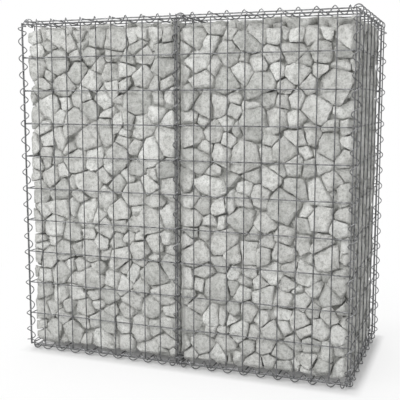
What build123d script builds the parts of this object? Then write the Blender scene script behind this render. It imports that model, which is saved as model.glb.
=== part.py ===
from build123d import *
import math
import os

# Driving dimensions, in millimetres. Width, depth and height are measured
# between the centre planes of the outer wires on opposite sides.
BASKET_WIDTH = 1000.0
BASKET_DEPTH = 500.0
BASKET_HEIGHT = 1000.0

# Welded mesh: nominal spaces along the front, front to back, and up the walls
MESH_WIRE = 3.5
FRONT_SPACING = 50.0
DEPTH_SPACING = 70.0
ROW_SPACING = 100.0

# Spiral binders that lace the panels together along their edge wires
SPIRAL_WIRE = 3.0
LACING_CLEARANCE = 0.3
SIDES_PER_TURN = 6

# Share of a side by which the corners of a binder are turned from the inward
# direction: along an edge its straight sides pass the two edge wires, and along
# a seam they face outwards, so that the basket stands on the binders of its ends
EDGE_TURN_SHARE = 0.0
SEAM_TURN_SHARE = 0.5

# Stone fill, one mass for each bay: heaped up to the headroom under the lid, and
# lower by the drop along the front and back, from which the heap slopes up this far
FILL_CLEARANCE = 1.0
FILL_HEADROOM = 8.0
FILL_DROP = 30.0
FILL_SLOPE = 70.0

# Two edge wires under one spiral stand apart by this step, along both panels,
# so that the cross wires of one panel end clear of the other's
edge_step = 2 * MESH_WIRE + LACING_CLEARANCE
half_step = edge_step / 2

# The inside of the spiral just clears the edge wires that it goes round
lacing_reach = (edge_step + MESH_WIRE) / math.sqrt(2)
wire_reach = SPIRAL_WIRE / math.sqrt(2)
half_side_angle = math.pi / SIDES_PER_TURN
spiral_radius = (lacing_reach + LACING_CLEARANCE + wire_reach) / math.cos(half_side_angle)
spiral_outer_radius = spiral_radius + wire_reach / math.cos(half_side_angle)

half_width = BASKET_WIDTH / 2
half_depth = BASKET_DEPTH / 2
half_height = BASKET_HEIGHT / 2

# An edge wire is set in from the plane of the panel that it meets: further
# where that panel's own edge wire is in its inner layer
outer_inset = edge_step
inner_inset = edge_step + MESH_WIRE

# Panel sizes between the centre lines of their edge wires
bay_width = half_width - outer_inset - half_step
front_height = BASKET_HEIGHT - 2 * inner_inset
end_width = BASKET_DEPTH - 2 * outer_inset
end_height = BASKET_HEIGHT - 2 * outer_inset
floor_width = half_width - inner_inset - half_step
floor_depth = BASKET_DEPTH - 2 * inner_inset

# Spaces between wires
bay_columns = max(1, round(half_width / FRONT_SPACING))
end_columns = max(1, round(BASKET_DEPTH / DEPTH_SPACING))
wall_rows = max(1, round(BASKET_HEIGHT / ROW_SPACING))
floor_columns = max(1, round(half_width / ROW_SPACING))
turns_per_row = max(1, round(ROW_SPACING / FRONT_SPACING))

# Side signs, as the names of the pieces use them
SIDES = {"left": -1, "right": 1}
FACES = {"front": -1, "back": 1}
LEVELS = {"base": -1, "lid": 1}


def mesh_panel(width, height, columns, rows):
    """A flat welded panel: upright wires in the outer layer, cross wires inside."""
    upright = Box(MESH_WIRE, height + MESH_WIRE, MESH_WIRE)
    cross = Box(width + MESH_WIRE, MESH_WIRE, MESH_WIRE)
    wires = []
    for i in range(columns + 1):
        wires.append(Pos(X=width * (i / columns - 1 / 2)) * upright)
    for i in range(rows + 1):
        wires.append(Pos(Y=height * (i / rows - 1 / 2), Z=MESH_WIRE) * cross)
    return wires[0].fuse(*wires[1:])


def spiral_binder(pitch, turns, turn_share):
    """A coil about Z, with +X inwards at the middle of every space between wires."""
    points = []
    for k in range((turns - 1) * SIDES_PER_TURN + 1):
        turn = (k + turn_share) / SIDES_PER_TURN
        radial = Vector(spiral_radius, 0, 0).rotate(Axis.Z, 360 * turn)
        points.append(radial + Vector(0, 0, pitch * turn))
    section = Plane(points[0], z_dir=points[1] - points[0]) * Rectangle(SPIRAL_WIRE, SPIRAL_WIRE)
    return sweep(section, Polyline(*points), transition=Transition.RIGHT)


def cut_back(solid, point, outward):
    """Cut a solid along a plane through a point, and keep what is inside of it."""
    return split(solid, Plane(point, z_dir=outward), keep=Keep.BOTTOM)


def wall(panel, centre, inward):
    """Stand a panel upright, with its cross wires on the inward side."""
    across = Vector(0, 0, 1).cross(Vector(inward))
    return Plane(centre, x_dir=across, z_dir=inward) * panel


def laid(panel, centre, inward):
    """Lay a panel flat as floor or lid, with its cross wires on the inward side."""
    return Plane(centre, x_dir=(1, 0, 0), z_dir=inward) * panel


def laced(coil, start, along, inward):
    """Run a binder along an edge from the middle of the first space between wires."""
    return Plane(start, x_dir=inward, z_dir=along) * coil


# The pieces are placed about the middle of the basket, and stood on the
# ground together at the end
nodes = {}

# Panels
bay_panel = mesh_panel(bay_width, front_height, bay_columns, wall_rows)
end_panel = mesh_panel(end_width, end_height, end_columns, wall_rows)
floor_panel = mesh_panel(floor_width, floor_depth, floor_columns, end_columns)

bay_centre = half_step + bay_width / 2
floor_centre = half_step + floor_width / 2

for side, sx in SIDES.items():
    for face, sy in FACES.items():
        nodes[f"{face}_panel_{side}"] = wall(bay_panel, (sx * bay_centre, sy * half_depth, 0), (0, -sy, 0))
    nodes[f"end_panel_{side}"] = wall(end_panel, (sx * half_width, 0, 0), (-sx, 0, 0))
    for level, sz in LEVELS.items():
        nodes[f"{level}_panel_{side}"] = laid(
            floor_panel, (sx * floor_centre, 0, sz * half_height), (0, 0, -sz))

# The partition's two layers lie either side of the middle of the basket
nodes["partition_panel"] = wall(end_panel, (-MESH_WIRE / 2, 0, 0), (1, 0, 0))

# Spiral binders: a binder keeps to the middle of the spaces of the two panels
# that it laces, which differ a little in length
upright_run = (front_height + end_height) / 2
across_run = (bay_width + floor_width) / 2
deep_run = (end_width + floor_depth) / 2

upright_turns = wall_rows * turns_per_row
upright_pitch = upright_run / upright_turns
across_pitch = across_run / bay_columns
deep_pitch = deep_run / end_columns

upright_coil = spiral_binder(upright_pitch, upright_turns, EDGE_TURN_SHARE)
across_coil = spiral_binder(across_pitch, bay_columns, EDGE_TURN_SHARE)
deep_coil = spiral_binder(deep_pitch, end_columns, EDGE_TURN_SHARE)
upright_seam_coil = spiral_binder(upright_pitch, upright_turns, SEAM_TURN_SHARE)
deep_seam_coil = spiral_binder(deep_pitch, end_columns, SEAM_TURN_SHARE)

# Middle lines of the binders: upright ones, those along the front and back of
# the floor and lid, and those across the ends and the middle
corner_x = half_width - half_step
corner_y = half_depth - half_step
edge_y = corner_y - MESH_WIRE
edge_z = half_height - half_step - MESH_WIRE
end_x = corner_x - MESH_WIRE
end_z = half_height - half_step

upright_start = (upright_pitch - upright_run) / 2
deep_start = (deep_pitch - deep_run) / 2
across_start = {
    "left": -half_step - across_run + across_pitch / 2,
    "right": half_step + across_pitch / 2,
}

for face, sy in FACES.items():
    for side, sx in SIDES.items():
        nodes[f"corner_spiral_{face}_{side}"] = laced(
            upright_coil, (sx * corner_x, sy * corner_y, upright_start), (0, 0, 1), (-sx, -sy, 0))
    nodes[f"seam_spiral_{face}"] = laced(
        upright_seam_coil, (0, sy * corner_y, upright_start), (0, 0, 1), (0, -sy, 0))

for level, sz in LEVELS.items():
    for side, sx in SIDES.items():
        for face, sy in FACES.items():
            nodes[f"{level}_spiral_{face}_{side}"] = laced(
                across_coil, (across_start[side], sy * edge_y, sz * edge_z), (1, 0, 0), (0, -sy, -sz))
        nodes[f"{level}_spiral_{side}"] = laced(
            deep_coil, (sx * end_x, deep_start, sz * end_z), (0, 1, 0), (-sx, 0, -sz))
    nodes[f"{level}_spiral_middle"] = laced(
        deep_seam_coil, (0, deep_start, sz * end_z), (0, 1, 0), (0, 0, -sz))

# Stone fill: it stands on the floor's cross wires and keeps clear of the walls
mesh_inside = MESH_WIRE * 3 / 2
fill_outer = half_width - mesh_inside - FILL_CLEARANCE
fill_inner = MESH_WIRE + FILL_CLEARANCE
fill_front = half_depth - mesh_inside - FILL_CLEARANCE
fill_bottom = mesh_inside - half_height
fill_top = half_height - FILL_HEADROOM
fill_shoulder = fill_top - FILL_DROP
binder_clear = spiral_outer_radius + FILL_CLEARANCE


def stone_fill(sx):
    """The stones of one bay as one mass: clear of the binders, and heaped in the middle."""
    block = Box(fill_outer - fill_inner, 2 * fill_front, fill_top - fill_bottom)
    fill = Pos(sx * (fill_outer + fill_inner) / 2, 0, (fill_top + fill_bottom) / 2) * block
    binders = []
    for sy in FACES.values():
        binders.append(((sx * corner_x, sy * corner_y, 0), (-sx, -sy, 0)))
        binders.append(((0, sy * corner_y, 0), (sx, -sy, 0)))
        for sz in LEVELS.values():
            binders.append(((0, sy * edge_y, sz * edge_z), (0, -sy, -sz)))
    for sz in LEVELS.values():
        binders.append(((sx * end_x, 0, sz * end_z), (-sx, 0, -sz)))
        binders.append(((0, 0, sz * end_z), (sx, 0, -sz)))
    for line, inward in binders:
        inward = Vector(inward).normalized()
        fill = cut_back(fill, Vector(line) + inward * binder_clear, -inward)
    for sy in FACES.values():
        fill = cut_back(fill, (0, sy * fill_front, fill_shoulder), (0, sy * FILL_DROP, FILL_SLOPE))
    return fill


for side, sx in SIDES.items():
    nodes[f"stone_fill_{side}"] = stone_fill(sx)

# The lowest loops rest on the ground
ground = min(solid.bounding_box().min.Z for solid in nodes.values())

os.makedirs("parts", exist_ok=True)
for name, solid in nodes.items():
    export_step(Pos(Z=-ground) * solid, f"parts/{name}.step")
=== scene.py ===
import math

import bmesh
import bpy
import numpy as np
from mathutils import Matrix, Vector, geometry


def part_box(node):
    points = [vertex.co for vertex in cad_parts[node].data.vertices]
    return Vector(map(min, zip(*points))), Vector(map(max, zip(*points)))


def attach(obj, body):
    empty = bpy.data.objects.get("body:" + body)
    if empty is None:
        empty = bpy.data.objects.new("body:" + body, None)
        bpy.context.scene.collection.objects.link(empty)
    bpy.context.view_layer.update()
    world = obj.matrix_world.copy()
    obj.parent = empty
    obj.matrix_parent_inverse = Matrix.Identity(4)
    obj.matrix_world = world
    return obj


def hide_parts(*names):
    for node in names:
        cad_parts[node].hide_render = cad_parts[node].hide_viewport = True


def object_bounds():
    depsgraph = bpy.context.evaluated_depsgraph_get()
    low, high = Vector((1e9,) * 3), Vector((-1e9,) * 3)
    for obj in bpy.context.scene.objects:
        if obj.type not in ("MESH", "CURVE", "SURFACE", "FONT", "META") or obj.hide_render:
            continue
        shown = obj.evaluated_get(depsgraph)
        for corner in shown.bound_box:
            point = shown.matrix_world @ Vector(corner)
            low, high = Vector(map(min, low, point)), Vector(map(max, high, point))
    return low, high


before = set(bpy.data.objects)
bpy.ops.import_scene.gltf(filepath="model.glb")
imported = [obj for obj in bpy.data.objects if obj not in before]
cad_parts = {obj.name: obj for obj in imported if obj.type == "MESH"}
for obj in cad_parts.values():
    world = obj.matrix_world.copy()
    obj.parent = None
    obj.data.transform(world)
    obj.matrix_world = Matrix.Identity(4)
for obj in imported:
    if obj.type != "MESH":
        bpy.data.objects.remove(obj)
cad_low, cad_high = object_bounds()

BODY = "root"
SEED = 20

# Basket mesh, in metres: nominal spaces, which give the number of wires
FRONT_SPACING = 0.050
DEPTH_SPACING = 0.070
ROW_SPACING = 0.100
WIRE_SIDES = 8
# Edges between faces that meet at more than this stay sharp
SHARP_DEG = 60

# Share of the wire's diameter by which welding sets one wire into the other
SET_DOWN_SHARE = 0.16
# Radii of a weld bead, as shares of the wire's radius: in the panel and through it, and
# the least and most of them that a bead has
WELD_SPREAD_SHARE = 1.2
WELD_THICK_SHARE = 0.9
WELD_VARY_SHARES = (0.85, 1.1)
WELD_SEGMENTS = 6
WELD_RINGS = 4
# How far a wire strays from straight between two welds
WIRE_STRAY = 0.0004

# Spiral binders
SPIRAL_RADIUS = 0.0015
STEPS_PER_TURN = 18
# Share of the pitch, and of a turn, at the closed ends
END_PITCH_SHARE = 0.45
END_TURN_SHARE = 0.90
# How much a loop's radius and place along the binder vary
LOOP_RADIUS_STRAY = 0.0008
LOOP_PLACE_STRAY = 0.0020

# Stones: half sizes, and how near their middles come, as a share of the two sizes together
STONE_SMALL = 0.018
STONE_LARGE = 0.044
STONE_NEAR_SHARE = 0.80
# How long a stone is, as shares of its middle size, least and most
STRETCH_SHARES = (1.0, 1.55)
# Rounds of throwing, for the outer and the inner stones: the share of the sizes in use, and
# the number of throws
OUTER_THROWS = ((1.0, 9000), (0.6, 9000), (0.3, 12000))
INNER_THROWS = ((1.0, 6000), (0.6, 6000))
# Depth of a stone's middle and of its back behind the mesh, and the share of that along
# the edges of the basket
SEED_DEPTH_LEAST = 0.015
SEED_DEPTH_MOST = 0.034
STONE_BACK = 0.062
EDGE_BACK_SHARE = 0.85
# Joints: most that a stone is cut back before its edges are rounded, and how far a joint
# tilts from square, as a slope
STONE_JOINT = 0.0010
JOINT_TILT = 0.16
# Least gap and further play between the stones and the binders, and half the gap between
# the stones of the two bays
BINDER_CLEARANCE = 0.0022
BINDER_RECESS = 0.004
PARTITION_GAP = 0.0012
# Facets on a stone's outer face: their number, from and below, how far they lean, as a
# slope, and lie back from the mesh
FACETS = (2, 4)
FACET_LEAN = 0.30
FACET_RECESS = 0.010
# Chipped corners: their number, from and below, and how far out they lie, as shares of the half size
CHIPS = (2, 5)
CHIP_SHARES = (1.08, 1.55)
# Sharpness of a stone's edges, from 0, round, to 1, sharp
EDGE_SHARPNESS = 0.54
# The fill is heaped: lower along the front and back, at the left and at the right, by
# these drops, from which it slopes up this far in
HEAP_DROPS = (0.014, 0.046)
HEAP_SLOPE = 0.070
# Corners nearer than this on a rough stone are one corner, faces that meet at less than this
# are one face, and what is left with fewer corners is no stone
CORNER_MERGE = 0.007
FLAT_DEG = 8
LEAST_CORNERS = 5
# Neighbours and planes further off than this don't touch a stone
NEIGHBOUR_REACH = 0.130
PLANE_REACH = 0.085
# Lumps and grit on the stone's surface, in a pattern of that many layers
LUMP_SIZE = 0.020
LUMP_HEIGHT = 0.0090
GRIT_SIZE = 0.007
GRIT_HEIGHT = 0.0014
LUMP_LAYERS = 2
# Level of the pattern that stays at the surface: what lies below it is sunk
LUMP_LEVEL = 0.60
# How far in the stones of the inner layer start, and the lumpy fill behind them
INNER_INSET = 0.016
CORE_INSET = 0.025
CORE_LUMP_SIZE = 0.045
CORE_LUMP_HEIGHT = 0.010
CORE_CUTS = 7
CORE_SHARPNESS = 1.0
# Times that the faces of the outer stones and of the fill behind, and those of the inner
# stones, are divided to round them
OUTER_LEVELS = 2
INNER_LEVELS = 1

# Noise patterns of the materials: waves in a metre, detail and roughness
ZINC_PATCHES = (90.0, 4.0, 0.55)
ZINC_GRAIN = (900.0, 3.0, 0.55)
STONE_CLOUDS = (22.0, 6.0, 0.62)
STONE_BLOTCHES = (85.0, 5.0, 0.65)
STONE_SPECKS = (260.0, 4.0, 0.70)
STONE_GRAINS = (1100.0, 2.0, 0.50)

# Zinc: darkest and lightest colour, where they and their mean lie in the patches, and
# the colour by which the grain darkens it
MESH_ZINC = ((0.07, 0.071, 0.073), (0.30, 0.304, 0.312))
BINDER_ZINC = ((0.10, 0.101, 0.104), (0.40, 0.405, 0.415))
ZINC_STOPS = (0.32, 0.52, 0.70)
ZINC_FLECKS = ((0.30, (0.78, 0.78, 0.78)), (0.62, (1.0, 1.0, 1.0)))
ZINC_ROUGHNESS = (0.42, 0.18)
ZINC_METALLIC = 0.9

# Stone: colours along a stone's own tone, and the colours by which clouds, blotches and
# specks darken it
STONE_TONES = ((0.0, (0.63, 0.635, 0.615)), (0.5, (0.74, 0.74, 0.72)), (1.0, (0.85, 0.855, 0.835)))
CLOUD_STOPS = ((0.28, (0.80, 0.80, 0.79)), (0.50, (0.97, 0.97, 0.965)), (0.72, (1.0, 1.0, 1.0)))
BLOTCH_STOPS = ((0.36, (0.68, 0.68, 0.67)), (0.50, (0.93, 0.93, 0.925)), (0.62, (1.0, 1.0, 1.0)))
SPECK_STOPS = ((0.34, (0.60, 0.605, 0.60)), (0.49, (0.93, 0.93, 0.93)), (0.62, (1.0, 1.0, 1.0)))
SPECK_SHARE = 0.9
# Painted shade: the lumpy fill behind the stones is the same stone with every colour darkened to this
# share, so that it looks shaded deep in the joints
CORE_PAINTED_SHADE_SHARE = 0.9
STONE_ROUGHNESS = (0.78, 0.96)
STONE_SPECULAR = 0.3

# Bumps: height in metres, and strength
ZINC_GRAIN_BUMP = (0.0004, 0.35)
STONE_BLOTCH_BUMP = (0.0090, 0.70)
STONE_SPECK_BUMP = (0.0030, 0.75)
STONE_GRAIN_BUMP = (0.0006, 0.40)

# Studio floor, and how white it shows at distances from the basket's footprint
FLOOR_RADIUS = 12.0
FLOOR_SEGMENTS = 96
FLOOR_GREY = 0.86
FLOOR_ROUGHNESS = 0.9
FLOOR_WHITE_SHARES = ((0.0, 0.12), (0.025, 0.78), (0.25, 0.93), (0.9, 1.0))

# Light: strength of the surroundings, and place, size and power in watts of each lamp
WORLD_STRENGTH = 0.65
KEY_LAMP = ((-1.6, -3.4, 2.9), (5.2, 1.3), 146.0)
FILL_LAMP = ((-1.4, 3.6, 2.4), (4.0, 1.6), 70.0)

# Camera at the photograph's angle, for a square frame
CAMERA_PLACE = (0.793, -2.169, 0.770)
CAMERA_TURN_DEG = 20.61
CAMERA_DROP_DEG = 7.52
CAMERA_LENS_MM = 66.6
SENSOR_MM = 36.0

rng = np.random.default_rng(SEED)
middle = (cad_low + cad_high) / 2
AXES = np.eye(3)
SIDES = {"left": -1, "right": 1}
FACES = {"front": -1, "back": 1}
LEVELS = {"base": -1, "lid": 1}
WHITE = (1.0, 1.0, 1.0)


def node_box(node):
    """Lowest and highest corner of a CAD node, as arrays."""
    low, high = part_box(node)
    return np.array(low), np.array(high)


# Materials

def new_material(name):
    """A node material with its shader and node tree."""
    material = bpy.data.materials.new(name)
    material.use_nodes = True
    tree = material.node_tree
    return material, tree, tree.nodes["Principled BSDF"]


def noise_value(tree, pattern):
    """Noise in the object's own space."""
    scale, detail, roughness = pattern
    place = tree.nodes.new("ShaderNodeTexCoord")
    noise = tree.nodes.new("ShaderNodeTexNoise")
    noise.inputs["Scale"].default_value = scale
    noise.inputs["Detail"].default_value = detail
    noise.inputs["Roughness"].default_value = roughness
    tree.links.new(place.outputs["Object"], noise.inputs["Vector"])
    return noise.outputs["Fac"]


def ramp(tree, value, stops):
    """Colours along a value: stops are (place, colour)."""
    node = tree.nodes.new("ShaderNodeValToRGB")
    elements = node.color_ramp.elements
    while len(elements) < len(stops):
        elements.new(1.0)
    for element, (place, colour) in zip(elements, stops):
        element.position = place
        element.color = (*colour, 1.0)
    tree.links.new(value, node.inputs["Fac"])
    return node.outputs["Color"]


def multiplied(tree, first, second, share=1.0):
    """One colour multiplied by that share of another."""
    node = tree.nodes.new("ShaderNodeMix")
    node.data_type = "RGBA"
    node.blend_type = "MULTIPLY"
    node.inputs["Factor"].default_value = share
    tree.links.new(first, node.inputs["A"])
    tree.links.new(second, node.inputs["B"])
    return node.outputs["Result"]


def span(tree, value, ends):
    """A value from 0 to 1 spread between two numbers."""
    node = tree.nodes.new("ShaderNodeMapRange")
    node.inputs["To Min"].default_value = ends[0]
    node.inputs["To Max"].default_value = ends[1]
    tree.links.new(value, node.inputs["Value"])
    return node.outputs["Result"]


def bump(tree, height, size, under=None):
    """A bump of that height and strength, over another one if given."""
    node = tree.nodes.new("ShaderNodeBump")
    node.inputs["Distance"].default_value = size[0]
    node.inputs["Strength"].default_value = size[1]
    tree.links.new(height, node.inputs["Height"])
    if under is not None:
        tree.links.new(under, node.inputs["Normal"])
    return node.outputs["Normal"]


def galvanised(name, dark, light):
    """Dull zinc: patches of lighter and darker grey, which differ in gloss, and a fine grain."""
    material, tree, shader = new_material(name)
    patches = noise_value(tree, ZINC_PATCHES)
    grain = noise_value(tree, ZINC_GRAIN)
    between = [(d + l) / 2 for d, l in zip(dark, light)]
    zinc = ramp(tree, patches, list(zip(ZINC_STOPS, (dark, between, light))))
    flecks = ramp(tree, grain, ZINC_FLECKS)
    tree.links.new(multiplied(tree, zinc, flecks), shader.inputs["Base Color"])
    tree.links.new(span(tree, patches, ZINC_ROUGHNESS), shader.inputs["Roughness"])
    shader.inputs["Metallic"].default_value = ZINC_METALLIC
    tree.links.new(bump(tree, grain, ZINC_GRAIN_BUMP), shader.inputs["Normal"])
    return material


def broken_stone(name, painted_shade_share):
    """Pale grey broken stone, each stone with its own tone, and every colour darkened by the given
    share, as painted shade, where that share is below one.
    """
    material, tree, shader = new_material(name)
    tone = tree.nodes.new("ShaderNodeAttribute")
    tone.attribute_name = "tone"
    # Painted shade: every tone is darkened by that share
    tones = [(place, [painted_shade_share * c for c in colour]) for place, colour in STONE_TONES]
    own = ramp(tree, tone.outputs["Fac"], tones)
    clouds = noise_value(tree, STONE_CLOUDS)
    blotches = noise_value(tree, STONE_BLOTCHES)
    specks = noise_value(tree, STONE_SPECKS)
    grains = noise_value(tree, STONE_GRAINS)
    clouded = multiplied(tree, own, ramp(tree, clouds, CLOUD_STOPS))
    blotched = multiplied(tree, clouded, ramp(tree, blotches, BLOTCH_STOPS))
    specked = multiplied(tree, blotched, ramp(tree, specks, SPECK_STOPS), SPECK_SHARE)
    tree.links.new(specked, shader.inputs["Base Color"])
    tree.links.new(span(tree, specks, STONE_ROUGHNESS), shader.inputs["Roughness"])
    shader.inputs["Specular IOR Level"].default_value = STONE_SPECULAR
    broken = bump(tree, blotches, STONE_BLOTCH_BUMP)
    rough = bump(tree, specks, STONE_SPECK_BUMP, broken)
    tree.links.new(bump(tree, grains, STONE_GRAIN_BUMP, rough), shader.inputs["Normal"])
    return material


mesh_zinc = galvanised("mesh_zinc", *MESH_ZINC)
binder_zinc = galvanised("binder_zinc", *BINDER_ZINC)
pale_stone = broken_stone("pale_stone", 1.0)
# A darker copy of the same stone for the fill behind, as painted shade
painted_shade_stone = broken_stone("painted_shade_stone", CORE_PAINTED_SHADE_SHARE)


# Wires

def tube(path, radius, reference):
    """Vertices and faces of a round wire along a path; reference is never along the path."""
    path = np.asarray(path, float)
    ahead = np.gradient(path, axis=0)
    ahead /= np.linalg.norm(ahead, axis=1)[:, None]
    first = np.cross(ahead, reference)
    first /= np.linalg.norm(first, axis=1)[:, None]
    second = np.cross(ahead, first)
    turn = np.arange(WIRE_SIDES) * 2 * math.pi / WIRE_SIDES
    ring = first[:, None] * np.cos(turn)[None, :, None] + second[:, None] * np.sin(turn)[None, :, None]
    vertices = (path[:, None] + radius * ring).reshape(-1, 3)
    faces = []
    for row in range(len(path) - 1):
        for k in range(WIRE_SIDES):
            after = (k + 1) % WIRE_SIDES
            start, end = row * WIRE_SIDES, (row + 1) * WIRE_SIDES
            faces.append((start + k, end + k, end + after, start + after))
    last = (len(path) - 1) * WIRE_SIDES
    faces.append(tuple(range(WIRE_SIDES)))
    faces.append(tuple(reversed(range(last, last + WIRE_SIDES))))
    return vertices, faces


def ball():
    """Vertices and faces of a small ball of radius one."""
    bm = bmesh.new()
    bmesh.ops.create_uvsphere(bm, u_segments=WELD_SEGMENTS, v_segments=WELD_RINGS, radius=1.0)
    vertices = np.array([v.co for v in bm.verts])
    bm.verts.index_update()
    faces = [tuple(v.index for v in f.verts) for f in bm.faces]
    bm.free()
    return vertices, faces


def joined(parts):
    """One list of vertices and one of faces from many."""
    vertices, faces, count = [], [], 0
    for part_vertices, part_faces in parts:
        vertices.append(part_vertices)
        faces.extend(tuple(count + i for i in face) for face in part_faces)
        count += len(part_vertices)
    return np.concatenate(vertices), faces


def add_piece(name, parts, material, nodes):
    """A smooth mesh piece that rides on the basket and stands for those nodes."""
    vertices, faces = joined(parts)
    mesh = bpy.data.meshes.new(name)
    mesh.from_pydata(vertices.tolist(), [], faces)
    mesh.shade_smooth()
    mesh.set_sharp_from_angle(angle=math.radians(SHARP_DEG))
    mesh.materials.append(material)
    piece = bpy.data.objects.new(name, mesh)
    bpy.context.scene.collection.objects.link(piece)
    return placed(piece, nodes)


def placed(piece, nodes):
    """Tie a piece to the frame."""
    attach(piece, BODY)
    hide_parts(*nodes)
    return piece


def wire_panel(node, thin, outward, along, across, along_space, across_space):
    """Welded mesh of round wires: the outer layer runs along, the inner one across."""
    low, high = node_box(node)
    diameter = (high[thin] - low[thin]) / 2
    radius = diameter / 2
    outer = (high[thin] if outward > 0 else low[thin]) - outward * radius
    inner = outer - outward * diameter * (1 - SET_DOWN_SHARE)
    spots = {}
    for axis, space in ((along, along_space), (across, across_space)):
        first, last = low[axis] + radius, high[axis] - radius
        spots[axis] = np.linspace(first, last, round((last - first) / space) + 1)
    parts = []
    for run, step, depth in ((along, across, outer), (across, along, inner)):
        ends = np.concatenate([[low[run]], spots[run][1:-1], [high[run]]])
        for spot in spots[step]:
            path = np.zeros((len(ends), 3))
            path[:, run] = ends
            path[:, step] = spot + rng.uniform(-WIRE_STRAY, WIRE_STRAY, len(ends))
            path[[0, -1], step] = spot
            path[:, thin] = depth
            parts.append(tube(path, radius, AXES[thin]))
    bead, bead_faces = ball()
    size = np.full(3, WELD_SPREAD_SHARE * radius)
    size[thin] = WELD_THICK_SHARE * radius
    for a in spots[along]:
        for b in spots[across]:
            place = np.zeros(3)
            place[along], place[across], place[thin] = a, b, (outer + inner) / 2
            parts.append((place + bead * size * rng.uniform(*WELD_VARY_SHARES, 3), bead_faces))
    return add_piece(node.replace("panel", "mesh"), parts, mesh_zinc, [node])


def spiral_binder(node, pitch_nominal):
    """A round wire wound along an edge, with its ends wound closer."""
    low, high = node_box(node)
    size, centre = high - low, (low + high) / 2
    along = int(np.argmax(size))
    cross = [k for k in range(3) if k != along]
    offset = centre - np.array(middle)
    inward = np.zeros(3)
    for k in cross:
        if abs(offset[k]) > size[k]:
            inward[k] = -np.sign(offset[k])
    inward /= np.linalg.norm(inward)
    sideways = np.cross(AXES[along], inward)
    length = size[along] - 2 * SPIRAL_RADIUS
    turns = round(length / pitch_nominal)
    pitch = length / turns
    radius = min(size[k] for k in cross) / 2 - SPIRAL_RADIUS
    steps = round((turns + 2 * END_TURN_SHARE) * STEPS_PER_TURN)
    turn = np.linspace(-END_TURN_SHARE, turns + END_TURN_SHARE, steps + 1)
    inside = np.clip(turn, 0, turns)
    place = low[along] + SPIRAL_RADIUS + pitch * (inside + END_PITCH_SHARE * (turn - inside))
    knots = np.arange(-1, turns + 2)
    place += np.interp(turn, knots, rng.uniform(-1, 1, len(knots))) * LOOP_PLACE_STRAY
    radii = radius - np.interp(turn, knots, rng.uniform(0, 1, len(knots))) * LOOP_RADIUS_STRAY
    angle = 2 * math.pi * turn
    path = centre - AXES[along] * centre[along] + np.outer(place, AXES[along])
    path += np.outer(radii * np.cos(angle), inward) + np.outer(radii * np.sin(angle), sideways)
    parts = [tube(path, SPIRAL_RADIUS, AXES[along])]
    return add_piece(node.replace("spiral", "binder"), parts, binder_zinc, [node])


for side, sx in SIDES.items():
    for face, sy in FACES.items():
        wire_panel(f"{face}_panel_{side}", 1, sy, 2, 0, ROW_SPACING, FRONT_SPACING)
        spiral_binder(f"corner_spiral_{face}_{side}", FRONT_SPACING)
    wire_panel(f"end_panel_{side}", 0, sx, 2, 1, ROW_SPACING, DEPTH_SPACING)
    for level, sz in LEVELS.items():
        wire_panel(f"{level}_panel_{side}", 2, sz, 1, 0, DEPTH_SPACING, ROW_SPACING)
        spiral_binder(f"{level}_spiral_{side}", DEPTH_SPACING)
        for face in FACES:
            spiral_binder(f"{level}_spiral_{face}_{side}", FRONT_SPACING)
wire_panel("partition_panel", 0, -1, 2, 1, ROW_SPACING, DEPTH_SPACING)
for level in LEVELS:
    spiral_binder(f"{level}_spiral_middle", DEPTH_SPACING)
for face in FACES:
    spiral_binder(f"seam_spiral_{face}", FRONT_SPACING)


# Stones

BAY_SIDES = [(axis, sign) for axis in range(3) for sign in (-1, 1)]
fill_low = node_box("stone_fill_left")[0]
fill_high = node_box("stone_fill_right")[1]


def fill_top(point, high):
    """Height of the heap at a point: lower along the front and back, and most at the right."""
    from_walls = min(point[1] - fill_low[1], fill_high[1] - point[1])
    drop = np.interp(point[0], (fill_low[0], fill_high[0]), HEAP_DROPS)
    return high[2] - drop * max(0.0, 1 - from_walls / HEAP_SLOPE)


def side_gaps(point, low, high):
    """How far a point is from each side of the bay, and from the top of the heap."""
    gaps = np.array([(high[a] - point[a]) if s > 0 else (point[a] - low[a]) for a, s in BAY_SIDES])
    gaps[-1] = fill_top(point, high) - point[2]
    return gaps


def random_shape(size):
    """A long stone, turned at random: a matrix from a way out of it to shares of its half sizes."""
    stretch = rng.uniform(*STRETCH_SHARES)
    axes, _ = np.linalg.qr(rng.normal(size=(3, 3)))
    halves = size * np.array([stretch, 1.0, 1 / stretch])
    return axes.T / halves[:, None]


def reach(shape, way):
    """How far a stone, or each of several, reaches along a way, or along several."""
    return 1 / np.linalg.norm(np.einsum("...ij,...j->...i", shape, way), axis=-1)


def stone_middles(low, high, shown, throws):
    """Places and shapes of stones along some sides, thrown in one by one where there is room."""
    places, shapes = np.zeros((0, 3)), np.zeros((0, 3, 3))
    for size_share, tries in throws:
        for _ in range(tries):
            side = shown[rng.integers(len(shown))]
            axis, sign = BAY_SIDES[side]
            point = rng.uniform(low, high)
            depth = rng.uniform(SEED_DEPTH_LEAST, SEED_DEPTH_MOST)
            point[axis] += sign * (side_gaps(point, low, high)[side] - depth)
            shape = random_shape(STONE_SMALL + (STONE_LARGE - STONE_SMALL) * size_share * rng.uniform())
            if side_gaps(point, low, high).min() < SEED_DEPTH_LEAST - STONE_JOINT:
                continue
            ways = places - point
            gaps = np.linalg.norm(ways, axis=1)
            ways /= gaps[:, None]
            if np.any(gaps < STONE_NEAR_SHARE * (reach(shapes, ways) + reach(shape, ways))):
                continue
            places = np.vstack([places, point])
            shapes = np.concatenate([shapes, shape[None]])
    return places, shapes


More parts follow.
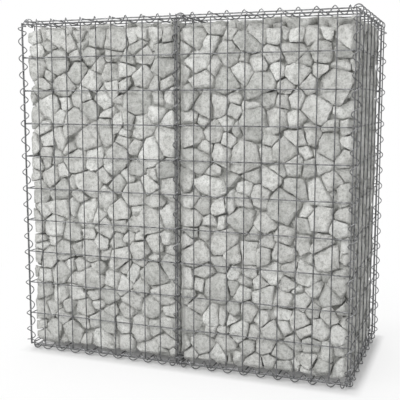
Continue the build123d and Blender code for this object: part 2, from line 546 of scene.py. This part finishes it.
def joint_planes(places, shapes):
    """The tilted planes between neighbours: for each stone, normals and how far out they lie."""
    planes = [[] for _ in places]
    for i, (place, shape) in enumerate(zip(places, shapes)):
        gaps = np.linalg.norm(places - place, axis=1)
        for j in i + 1 + np.flatnonzero(gaps[i + 1:] < NEIGHBOUR_REACH):
            gap = gaps[j]
            way = (places[j] - place) / gap
            normal = way + JOINT_TILT * rng.normal(size=3)
            normal /= np.linalg.norm(normal)
            own, other = reach(shape, way), reach(shapes[j], way)
            between = gap * (normal @ way)
            half_joint = STONE_JOINT * rng.uniform()
            planes[i].append((normal, between * own / (own + other) - half_joint))
            planes[j].append((-normal, between * other / (own + other) - half_joint))
    return planes


def binder_planes(side, low, high):
    """Planes that keep a bay's stones clear of its binders: normals and a point on each."""
    names = [f"{level}_spiral_{place}" for level in LEVELS for place in (side, "middle")]
    for face in FACES:
        names += [f"corner_spiral_{face}_{side}", f"seam_spiral_{face}"]
        names += [f"{level}_spiral_{face}_{side}" for level in LEVELS]
    planes = []
    for name in names:
        node_low, node_high = node_box(name)
        size, centre = node_high - node_low, (node_low + node_high) / 2
        outward = np.sign(centre - (low + high) / 2)
        outward[np.argmax(size)] = 0
        outward /= np.linalg.norm(outward)
        planes.append((outward, centre - outward * (np.sort(size)[1] / 2 + BINDER_CLEARANCE)))
    return planes


def stone_planes(point, shape, joints, binders, room, shown):
    """The planes that bound one stone, about its middle: normals and how far out they lie."""
    outward = [s * AXES[a] for a, s in BAY_SIDES]
    planes = joints + list(zip(outward, room))
    for normal, place in binders:
        planes.append((normal, normal @ (place - point) - BINDER_RECESS * rng.uniform()))
    faces = [k for k in shown if room[k] < STONE_BACK]
    spread = math.sqrt(len(faces))
    back = sum(outward[k] for k in faces) / spread
    depth = STONE_BACK if len(faces) == 1 else EDGE_BACK_SHARE * STONE_BACK * spread
    planes.append((-back, depth - sum(room[k] for k in faces) / spread))
    for k in faces:
        for _ in range(rng.integers(*FACETS)):
            lean = rng.uniform(-FACET_LEAN, FACET_LEAN, 3)
            lean[BAY_SIDES[k][0]] = BAY_SIDES[k][1]
            planes.append((lean / np.linalg.norm(lean), room[k] - FACET_RECESS * rng.uniform()))
    for _ in range(rng.integers(*CHIPS)):
        way = rng.normal(size=3)
        way /= np.linalg.norm(way)
        planes.append((way, reach(shape, way) * rng.uniform(*CHIP_SHARES)))
    return [(normal, out) for normal, out in planes if out < PLANE_REACH]


def rough_stone(planes):
    """Corners and faces of the solid within those planes, with near corners made one."""
    bounds = [Vector((*normal, -out)) for normal, out in planes]
    corners, _ = geometry.points_in_planes(bounds)
    kept = []
    for corner in corners:
        if all((corner - other).length > CORNER_MERGE for other in kept):
            kept.append(corner)
    if len(kept) < LEAST_CORNERS:
        return None
    bm = bmesh.new()
    for corner in kept:
        bm.verts.new(corner)
    hull = bmesh.ops.convex_hull(bm, input=bm.verts)
    spare = hull["geom_interior"] + hull["geom_unused"]
    loose = [part for part in spare if isinstance(part, bmesh.types.BMVert)]
    bmesh.ops.delete(bm, geom=list(set(loose)), context="VERTS")
    bmesh.ops.dissolve_limit(bm, angle_limit=math.radians(FLAT_DEG), verts=bm.verts, edges=bm.edges)
    bmesh.ops.recalc_face_normals(bm, faces=bm.faces)
    bm.verts.index_update()
    solid = np.array([v.co for v in bm.verts]), [tuple(v.index for v in f.verts) for f in bm.faces]
    bm.free()
    return solid


def lumps(name, size):
    """A cloud pattern for lumps of that size."""
    pattern = bpy.data.textures.new(name, "CLOUDS")
    pattern.noise_scale = size
    pattern.noise_depth = LUMP_LAYERS
    return pattern


lump_pattern = lumps("stone_lumps", LUMP_SIZE)
grit_pattern = lumps("stone_grit", GRIT_SIZE)
core_pattern = lumps("core_lumps", CORE_LUMP_SIZE)


def weathered(piece, sharpness, levels, roughness):
    """Round the edges of rough stones, roughen them and keep the result as the mesh."""
    edges = piece.data.attributes.new("crease_edge", "FLOAT", "EDGE")
    edges.data.foreach_set("value", np.full(len(piece.data.edges), sharpness, np.float32))
    rounded = piece.modifiers.new("edges", "SUBSURF")
    rounded.levels = levels
    for pattern, height in roughness:
        rough = piece.modifiers.new(pattern.name, "DISPLACE")
        rough.texture = pattern
        rough.texture_coords = "GLOBAL"
        rough.strength = height
        rough.mid_level = LUMP_LEVEL
    graph = bpy.context.evaluated_depsgraph_get()
    final = bpy.data.meshes.new_from_object(piece.evaluated_get(graph))
    piece.modifiers.clear()
    piece.data = final
    final.shade_smooth()
    return final


def stone_layer(low, high, shown, throws, binders):
    """Rough stones along the sides that show: corners, faces and a tone of each."""
    places, shapes = stone_middles(low, high, shown, throws)
    stones = []
    for point, shape, joints in zip(places, shapes, joint_planes(places, shapes)):
        room = side_gaps(point, low, high)
        solid = rough_stone(stone_planes(point, shape, joints, binders, room, shown))
        if solid is not None:
            stones.append(((solid[0] + point, solid[1]), rng.uniform()))
    return stones


def stone_piece(name, stones, levels, low, high, node):
    """Many stones as one mesh, kept inside the mesh panels."""
    vertices, faces = joined([solid for solid, _ in stones])
    tones = np.concatenate([np.full(len(solid[0]), tone) for solid, tone in stones])
    mesh = bpy.data.meshes.new(name)
    mesh.from_pydata(vertices.tolist(), [], faces)
    mesh.attributes.new("tone", "FLOAT", "POINT").data.foreach_set("value", tones.astype(np.float32))
    mesh.materials.append(pale_stone)
    piece = bpy.data.objects.new(name, mesh)
    bpy.context.scene.collection.objects.link(piece)
    roughness = ((lump_pattern, LUMP_HEIGHT), (grit_pattern, GRIT_HEIGHT))
    final = weathered(piece, EDGE_SHARPNESS, levels, roughness)
    points = np.empty(len(final.vertices) * 3, np.float32)
    final.vertices.foreach_get("co", points)
    points = np.clip(points.reshape(-1, 3), low, high)
    final.vertices.foreach_set("co", points.ravel())
    return placed(piece, [node])


def further_in(low, high, shown, inset):
    """The box of a bay set back from the sides that show."""
    insets = np.array([inset if k in shown else 0.0 for k in range(len(BAY_SIDES))]).reshape(3, 2)
    return low + insets[:, 0], high - insets[:, 1]


def stone_core(name, low, high, node):
    """The stones further in, as one lumpy mass behind those that show, in the darker copy of the stone,
    as painted shade.
    """
    bm = bmesh.new()
    bmesh.ops.create_cube(bm, size=1.0)
    bmesh.ops.subdivide_edges(bm, edges=bm.edges, cuts=CORE_CUTS, use_grid_fill=True)
    for vertex in bm.verts:
        share = np.array(vertex.co) + 1 / 2
        point = low + share * (high - low)
        point[2] -= share[2] * (high[2] - fill_top(point, high))
        vertex.co = Vector(point)
    mesh = bpy.data.meshes.new(name)
    bm.to_mesh(mesh)
    bm.free()
    # Painted shade: the fill gets the darker copy of the stone
    mesh.materials.append(painted_shade_stone)
    piece = bpy.data.objects.new(name, mesh)
    bpy.context.scene.collection.objects.link(piece)
    weathered(piece, CORE_SHARPNESS, OUTER_LEVELS, ((core_pattern, CORE_LUMP_HEIGHT),))
    return placed(piece, [node])


def stone_bay(side, sx):
    """The stones of one bay: those that show, others behind their joints, and the fill further in."""
    node = f"stone_fill_{side}"
    low, high = node_box(node)
    partition = high if sx < 0 else low
    partition[0] = middle[0] + sx * PARTITION_GAP
    shown = [k for k, (a, s) in enumerate(BAY_SIDES) if (a, s) != (0, -sx)]
    binders = binder_planes(side, low, high)
    halves = {"front": [], "back": []}
    for solid, tone in stone_layer(low, high, shown, OUTER_THROWS, binders):
        half = "front" if solid[0][:, 1].mean() < middle[1] else "back"
        halves[half].append((solid, tone))
    for half, stones in halves.items():
        stone_piece(f"stones_{half}_{side}", stones, OUTER_LEVELS, low, high, node)
    inner_box = further_in(low, high, shown, INNER_INSET)
    inner = stone_layer(*inner_box, shown, INNER_THROWS, binders)
    stone_piece(f"stones_inner_{side}", inner, INNER_LEVELS, low, high, node)
    stone_core(f"stone_core_{side}", *further_in(low, high, shown, CORE_INSET), node)


for side, sx in SIDES.items():
    stone_bay(side, sx)


# Studio

def seen_rays(tree):
    """One for rays that the viewer sees, straight or in a reflection or glass."""
    path = tree.nodes.new("ShaderNodeLightPath")
    total = path.outputs["Is Camera Ray"]
    for name in ("Is Glossy Ray", "Is Transmission Ray"):
        node = tree.nodes.new("ShaderNodeMath")
        node.operation = "MAXIMUM"
        tree.links.new(total, node.inputs[0])
        tree.links.new(path.outputs[name], node.inputs[1])
        total = node.outputs["Value"]
    return total


def footprint_distance(tree):
    """How far a point of the floor is from the basket's footprint."""
    place = tree.nodes.new("ShaderNodeTexCoord").outputs["Object"]
    for operation, other in (("ABSOLUTE", None), ("SUBTRACT", cad_high), ("MAXIMUM", (0, 0, 0))):
        step = tree.nodes.new("ShaderNodeVectorMath")
        step.operation = operation
        tree.links.new(place, step.inputs[0])
        if other is not None:
            step.inputs[1].default_value = other
        place = step.outputs["Vector"]
    distance = tree.nodes.new("ShaderNodeVectorMath")
    distance.operation = "LENGTH"
    tree.links.new(place, distance.inputs[0])
    return distance.outputs["Value"]


def floor_material():
    """Pale and dull, and white where it is seen, but less so near the basket, for its shadow."""
    material, tree, shader = new_material("floor_white")
    shader.inputs["Base Color"].default_value = (FLOOR_GREY, FLOOR_GREY, FLOOR_GREY, 1.0)
    shader.inputs["Roughness"].default_value = FLOOR_ROUGHNESS
    stops = [(away, np.multiply(white_share, WHITE)) for away, white_share in FLOOR_WHITE_SHARES]
    share = tree.nodes.new("ShaderNodeMath")
    share.operation = "MULTIPLY"
    tree.links.new(seen_rays(tree), share.inputs[0])
    tree.links.new(ramp(tree, footprint_distance(tree), stops), share.inputs[1])
    both = tree.nodes.new("ShaderNodeMixShader")
    tree.links.new(share.outputs["Value"], both.inputs["Fac"])
    tree.links.new(shader.outputs["BSDF"], both.inputs[1])
    tree.links.new(tree.nodes.new("ShaderNodeEmission").outputs["Emission"], both.inputs[2])
    tree.links.new(both.outputs["Shader"], tree.nodes["Material Output"].inputs["Surface"])
    return material


def studio_floor():
    """A wide pale floor that keeps the soft shadow of the basket."""
    bm = bmesh.new()
    bmesh.ops.create_circle(bm, cap_ends=True, segments=FLOOR_SEGMENTS, radius=FLOOR_RADIUS)
    mesh = bpy.data.meshes.new("floor")
    bm.to_mesh(mesh)
    bm.free()
    mesh.materials.append(floor_material())
    floor = bpy.data.objects.new("floor", mesh)
    floor.location = (0, 0, cad_low[2])
    bpy.context.scene.collection.objects.link(floor)


def studio_world():
    """Even white surroundings: white where they are seen, dimmer as a light."""
    world = bpy.data.worlds.new("studio")
    bpy.context.scene.world = world
    world.use_nodes = True
    tree = world.node_tree
    light = tree.nodes["Background"]
    light.inputs["Color"].default_value = (*WHITE, 1.0)
    light.inputs["Strength"].default_value = WORLD_STRENGTH
    seen = tree.nodes.new("ShaderNodeBackground")
    seen.inputs["Color"].default_value = (*WHITE, 1.0)
    both = tree.nodes.new("ShaderNodeMixShader")
    tree.links.new(seen_rays(tree), both.inputs["Fac"])
    tree.links.new(light.outputs["Background"], both.inputs[1])
    tree.links.new(seen.outputs["Background"], both.inputs[2])
    tree.links.new(both.outputs["Shader"], tree.nodes["World Output"].inputs["Surface"])


def soft_lamp(name, place, size, power):
    """A lamp of that width and height that faces the middle of the basket."""
    lamp = bpy.data.lights.new(name, "AREA")
    lamp.shape = "RECTANGLE"
    lamp.size, lamp.size_y = size
    lamp.energy = power
    holder = bpy.data.objects.new(name, lamp)
    holder.location = place
    holder.rotation_euler = (middle - Vector(place)).to_track_quat("-Z", "Y").to_euler()
    bpy.context.scene.collection.objects.link(holder)


def photo_camera():
    """The camera at the photograph's place and angle."""
    camera = bpy.data.cameras.new("camera")
    camera.sensor_width = SENSOR_MM
    camera.lens = CAMERA_LENS_MM
    holder = bpy.data.objects.new("camera", camera)
    holder.location = CAMERA_PLACE
    holder.rotation_euler = (math.radians(90 - CAMERA_DROP_DEG), 0, math.radians(CAMERA_TURN_DEG))
    bpy.context.scene.collection.objects.link(holder)
    bpy.context.scene.camera = holder


studio_floor()
studio_world()
soft_lamp("key", *KEY_LAMP)
soft_lamp("fill", *FILL_LAMP)
photo_camera()
bpy.context.scene.view_settings.view_transform = "Standard"
